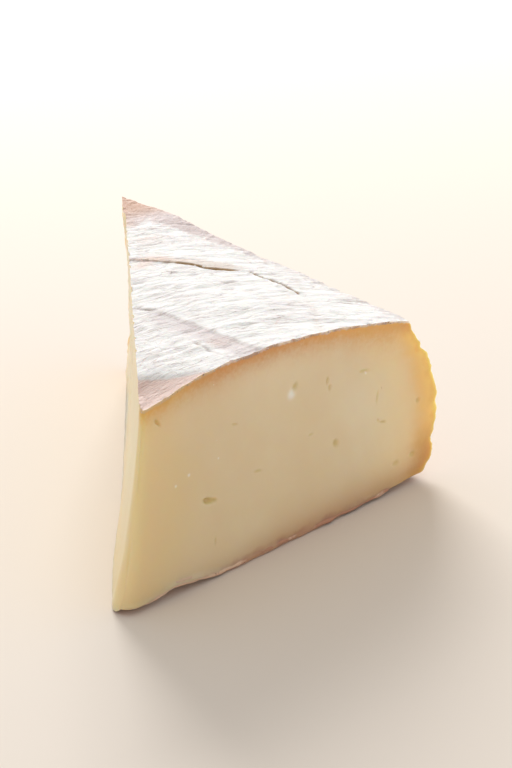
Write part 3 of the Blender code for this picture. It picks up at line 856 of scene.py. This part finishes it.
class NodeForm(Tree):
    """A Geometry Nodes tree whose inputs are named and set by values. It makes the piece of the same name."""

    KINDS = {float: "NodeSocketFloat", int: "NodeSocketInt", bpy.types.Material: "NodeSocketMaterial"}

    def __init__(self, name, values):
        super().__init__(bpy.data.node_groups.new(name, "GeometryNodeTree"))
        self.name, self.values = name, values
        kinds = {label: self.KINDS[type(value)] for label, value in values.items()}
        for label, kind in ({"Geometry": "NodeSocketGeometry"} | kinds).items():
            self.tree.interface.new_socket(label, in_out="INPUT", socket_type=kind)
        self.tree.interface.new_socket("Geometry", in_out="OUTPUT", socket_type="NodeSocketGeometry")
        self.entry = self.add("NodeGroupInput").outputs

    def random(self, low, high, seed_shift=0):
        """A random vector for each point, from the tree's seed."""
        seed = Number(self, self.entry["Seed"]) + seed_shift
        sockets = {0: low, 1: high, "Seed": seed}
        return self.add("FunctionNodeRandomValue", {"data_type": "FLOAT_VECTOR"}, sockets).outputs[0]

    def even(self, step):
        """The source's lines, cut into steps of one length."""
        sockets = {0: self.entry[0], "Length": self.entry[step]}
        return self.add("GeometryNodeResampleCurve", {"mode": "LENGTH"}, sockets).outputs[0]

    def spread(self, method, sockets):
        """Points over the source's faces."""
        sockets = {0: self.entry[0], "Seed": self.entry["Seed"]} | sockets
        settings = {"distribute_method": method}
        return self.add("GeometryNodeDistributePointsOnFaces", settings, sockets).outputs

    def moved(self, geometry, shift):
        return self.add("GeometryNodeSetPosition", None, {"Geometry": geometry, "Offset": shift}).outputs[0]

    def lumps(self, points, turns, sizes):
        """A small lump on each point, turned and stretched."""
        sockets = {"Radius": self.entry["Size"], "Subdivisions": 1}
        lump = self.add("GeometryNodeMeshIcoSphere", None, sockets).outputs[0]
        sockets = {"Points": points, "Instance": lump, "Rotation": turns, "Scale": sizes}
        return self.add("GeometryNodeInstanceOnPoints", None, sockets).outputs[0]

    def piece(self, geometry, source):
        """Ends the tree, runs it on the source object and makes a plain mesh piece of what comes out."""
        real = self.add("GeometryNodeRealizeInstances", None, {0: geometry}).outputs[0]
        sockets = {"Geometry": real, "Material": self.entry["Material"]}
        done = self.add("GeometryNodeSetMaterial", None, sockets).outputs[0]
        self.add("NodeGroupOutput", None, {0: done})
        modifier = source.modifiers.new(self.name, "NODES")
        modifier.node_group = self.tree
        for item in self.tree.interface.items_tree:
            if item.in_out == "INPUT" and item.name in self.values:
                modifier[item.identifier] = self.values[item.name]
        bpy.context.view_layer.update()
        evaluated = source.evaluated_get(bpy.context.evaluated_depsgraph_get())
        data = bpy.data.meshes.new_from_object(evaluated)
        data.name = self.name
        source.modifiers.remove(modifier)
        bpy.data.objects.remove(source)
        data.shade_smooth()
        dress(object_from(self.name, data))


def edge_path(s, parts, level):
    """Places along an edge of the wedge, from the corner over the tip to the side, at one level."""
    steps = np.linspace(0.0, 1.0, parts)
    corner = np.concatenate([1.0 - steps, np.zeros(parts - 1)])
    side = np.concatenate([np.zeros(parts), steps[1:]])
    places, _ = form_of(s, 1.0 - corner - side, side, corner, np.full(len(corner), float(level)))
    return places


def curve_from(name, *paths):
    """A curve object with one open line through the places of each path."""
    data = bpy.data.curves.new(name, "CURVE")
    data.dimensions = "3D"
    for places in paths:
        line = data.splines.new("POLY")
        line.points.add(len(places) - 1)
        for point, place in zip(line.points, places):
            point.co = (*place, 1.0)
    return object_from(name, data)


def faces_of_body(slot, keep):
    """A loose copy of the body's faces of one finish that are kept, as a surface to scatter on."""
    mesh = bmesh.new()
    mesh.from_mesh(bpy.data.objects["taleggio_body"].data)
    away = [face for face in mesh.faces if face.material_index != slot or not keep(face)]
    bmesh.ops.delete(mesh, geom=away, context="FACES")
    data = bpy.data.meshes.new("ground")
    mesh.to_mesh(data)
    mesh.free()
    return object_from("ground", data)


class TALEGGIO_OT_wedge(Operator):
    """Make the wedge's closed body with its paste and rind"""

    bl_idname = "taleggio.make_wedge"
    bl_label = "Make Wedge"

    def execute(self, context):
        s, look = context.scene.taleggio_form, context.scene.taleggio_look
        mesh, shares, levels = prism(s)
        places, marks = form_of(s, shares[:, 0], shares[:, 1], shares[:, 2], levels)
        mesh.verts.index_update()
        for face in mesh.faces:
            at = [v.index for v in face.verts]
            flat = (levels[at] == 1.0).all() or (levels[at] == 0.0).all()
            cut = (shares[at, 2] == 0.0).all() or (shares[at, 1] == 0.0).all()
            face.material_index = 0 if cut and not flat else 1
            face.smooth = True
        for edge in mesh.edges:
            kinds = {face.material_index for face in edge.link_faces}
            edge.smooth = len(kinds) == 1
        for vertex, place in zip(mesh.verts, places):
            vertex.co = place
        bmesh.ops.recalc_face_normals(mesh, faces=mesh.faces[:])
        data = bpy.data.meshes.new("taleggio_body")
        mesh.to_mesh(data)
        mesh.free()
        for name, values in marks.items():
            data.attributes.new(name, "FLOAT", "POINT").data.foreach_set("value", values.astype(np.float32))
        data.materials.append(paste_finish(look))
        data.materials.append(rind_finish(look))
        body = object_from("taleggio_body", data)
        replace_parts(dress(body), NODE)
        return {"FINISHED"}


class TALEGGIO_OT_base_lip(Operator):
    """Make the base rind's lip, which curls out along the foot of the short cut"""

    bl_idname = "taleggio.make_base_lip"
    bl_label = "Make Base Lip"

    def execute(self, context):
        s, look = context.scene.taleggio_form, context.scene.taleggio_look
        values = {"Step": 0.0007, "Radius": 0.00064, "Waviness": 0.0006, "Seed": 4}
        t = NodeForm("taleggio_base_lip", values | {"Material": base_lip_finish(look)})
        # A noise sways the line, and on the whole moves it a little out and down.
        sockets = {"W": t.entry["Seed"], "Scale": 210.0, "Detail": 3.0}
        wave = t.add("ShaderNodeTexNoise", {"noise_dimensions": "4D"}, sockets).outputs
        sockets = {0: wave["Color"], 1: (0.5, 0.68, 0.58)}
        centred = t.add("ShaderNodeVectorMath", {"operation": "SUBTRACT"}, sockets).outputs[0]
        sockets = {0: centred, "Scale": Number(t, t.entry["Waviness"]) * 2.2}
        shift = t.add("ShaderNodeVectorMath", {"operation": "SCALE"}, sockets).outputs[0]
        radius = Number(t, wave["Fac"]) * 1.6 * Number(t, t.entry["Radius"])
        ring = t.add("GeometryNodeCurvePrimitiveCircle", None, {"Resolution": 8, "Radius": 1.0}).outputs[0]
        sockets = {"Curve": t.moved(t.even("Step"), shift), "Profile Curve": ring}
        tube = t.add("GeometryNodeCurveToMesh", None, sockets | {"Scale": radius, "Fill Caps": True})
        # The line runs along the foot of the short cut, and its ends and the curl's turn into the paste.
        places = edge_path(s, 120, 0.0)[127:232]
        places[:, 2] = np.maximum(places[:, 2] + 0.0003, 0.0011)
        places[:, 1] += 0.0016 * np.linspace(-1.0, 1.0, len(places)) ** 16
        curl = places[5:29] + (0.0, 0.0001, 0.0008)
        curl[:, 1] += 0.0010 * np.linspace(-1.0, 1.0, len(curl)) ** 4
        t.piece(tube.outputs[0], curve_from("lip_line", places, curl))
        return {"FINISHED"}


class TALEGGIO_OT_flakes(Operator):
    """Make small flakes of rind along the top edge of the short cut"""

    bl_idname = "taleggio.make_flakes"
    bl_label = "Make Rind Flakes"

    def execute(self, context):
        s, look = context.scene.taleggio_form, context.scene.taleggio_look
        values = {"Spacing": 0.0008, "Size": 0.0002, "Seed": 7, "Material": flake_finish(look)}
        t = NodeForm("taleggio_rind_flakes", values)
        points = t.add("GeometryNodeCurveToPoints", {"mode": "EVALUATED"}, {0: t.even("Spacing")}).outputs[0]
        points = t.moved(points, t.random((-0.0003, -0.0001, -0.0005), (0.0003, 0.0004, -0.0001)))
        sizes = t.random((0.5, 0.3, 0.25), (1.7, 1.1, 0.7), 3)
        lumps = t.lumps(points, t.random((0.0, 0.0, 0.0), (6.3, 6.3, 6.3), 5), sizes)
        t.piece(lumps, curve_from("flake_line", edge_path(s, 160, 1.0)[159:]))
        return {"FINISHED"}


class TALEGGIO_OT_tufts(Operator):
    """Make tufts of white mould on the rind side"""

    bl_idname = "taleggio.make_tufts"
    bl_label = "Make Mould Tufts"

    def execute(self, context):
        values = {"Distance": 0.0016, "Density": 90000.0, "Size": 0.0003, "Seed": 11}
        finish = tuft_finish(context.scene.taleggio_look)
        t = NodeForm("taleggio_mould_tufts", values | {"Material": finish})
        limits = {"Distance Min": t.entry["Distance"], "Density Max": t.entry["Density"]}
        points = t.spread("POISSON", limits)
        lumps = t.lumps(points["Points"], points["Rotation"], t.random((0.5, 0.5, 0.15), (1.6, 1.3, 0.5), 3))

        def on_side(face):
            return face.normal.z < 0.8 and face.calc_center_median().z > 0.004

        t.piece(lumps, faces_of_body(1, on_side))
        return {"FINISHED"}


class TALEGGIO_OT_specks(Operator):
    """Make specks of paste on the cut faces"""

    bl_idname = "taleggio.make_specks"
    bl_label = "Make Paste Specks"

    def execute(self, context):
        values = {"Density": 3000.0, "Size": 0.00016, "Seed": 2}
        finish = crumb_finish(context.scene.taleggio_look)
        t = NodeForm("taleggio_paste_specks", values | {"Material": finish})
        points = t.spread("RANDOM", {"Density": t.entry["Density"]})
        lumps = t.lumps(points["Points"], points["Rotation"], t.random((0.4, 0.4, 0.2), (1.5, 1.1, 0.7), 3))
        t.piece(lumps, faces_of_body(0, lambda face: face.calc_center_median().z > 0.003))
        return {"FINISHED"}


class TALEGGIO_OT_stage(Operator):
    """Set the floor, the light and the camera"""

    bl_idname = "taleggio.set_stage"
    bl_label = "Set Stage"

    def execute(self, context):
        st = context.scene.taleggio_stage
        mesh = bmesh.new()
        bmesh.ops.create_grid(mesh, x_segments=1, y_segments=1, size=st.floor_reach)
        data = bpy.data.meshes.new("floor")
        mesh.to_mesh(data)
        mesh.free()
        f = Finish("pale_floor")
        f.fixed(Base_Color=(*st.floor, 1.0), Roughness=0.9)
        data.materials.append(f.material)
        object_from("floor", data)

        world = bpy.data.worlds.new("soft_sky")
        world.use_nodes = True
        sky = world.node_tree.nodes["Background"]
        sky.inputs["Color"].default_value = (1.0, 0.985, 0.965, 1.0)
        sky.inputs["Strength"].default_value = st.sky
        context.scene.world = world

        lamp = bpy.data.lights.new("back_light", "AREA")
        lamp.shape, lamp.size = "SQUARE", st.lamp_side
        lamp.energy, lamp.color = st.back_light, (1.0, 0.99, 0.975)
        light = object_from("back_light", lamp)
        light.location = LAMP_PLACE
        light.rotation_euler = (-Vector(light.location)).to_track_quat("-Z", "Y").to_euler()

        lens = bpy.data.cameras.new("camera")
        lens.lens, lens.sensor_width, lens.clip_start = st.lens, 36.0, 0.01
        camera = object_from("camera", lens)
        camera.location = Vector((*TIP_IN_FRAME, 0.0)) + Vector(CAMERA_FROM_TIP)
        camera.rotation_euler = [math.radians(turn) for turn in CAMERA_TURN]
        context.scene.camera = camera
        context.scene.view_settings.view_transform = "Standard"
        return {"FINISHED"}


class TALEGGIO_PT_panel(Panel):
    """Lists what makes the cheese"""

    bl_idname = "TALEGGIO_PT_panel"
    bl_label = "Taleggio Wedge"
    bl_space_type = "VIEW_3D"
    bl_region_type = "UI"
    bl_category = "Cheese"

    def draw(self, context):
        for operator in OPERATORS:
            self.layout.operator(operator.bl_idname)
        for group in (getattr(context.scene, name) for name in GROUPS):
            box = self.layout.box()
            for name in group.__annotations__:
                box.prop(group, name)


OPERATORS = (
    TALEGGIO_OT_wedge,
    TALEGGIO_OT_base_lip,
    TALEGGIO_OT_flakes,
    TALEGGIO_OT_tufts,
    TALEGGIO_OT_specks,
    TALEGGIO_OT_stage,
)
GROUPS = {
    "taleggio_form": TALEGGIO_PG_form,
    "taleggio_look": TALEGGIO_PG_look,
    "taleggio_stage": TALEGGIO_PG_stage,
}


def register():
    for kind in (*GROUPS.values(), *OPERATORS, TALEGGIO_PT_panel):
        bpy.utils.register_class(kind)
    for name, kind in GROUPS.items():
        setattr(bpy.types.Scene, name, PointerProperty(type=kind))


def unregister():
    for name in GROUPS:
        delattr(bpy.types.Scene, name)
    for kind in (TALEGGIO_PT_panel, *reversed(OPERATORS), *GROUPS.values()):
        bpy.utils.unregister_class(kind)


def main():
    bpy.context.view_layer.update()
    register()
    bpy.ops.taleggio.make_wedge()
    bpy.ops.taleggio.make_base_lip()
    bpy.ops.taleggio.make_flakes()
    bpy.ops.taleggio.make_tufts()
    bpy.ops.taleggio.make_specks()
    bpy.ops.taleggio.set_stage()


if __name__ == "__main__":
    main()
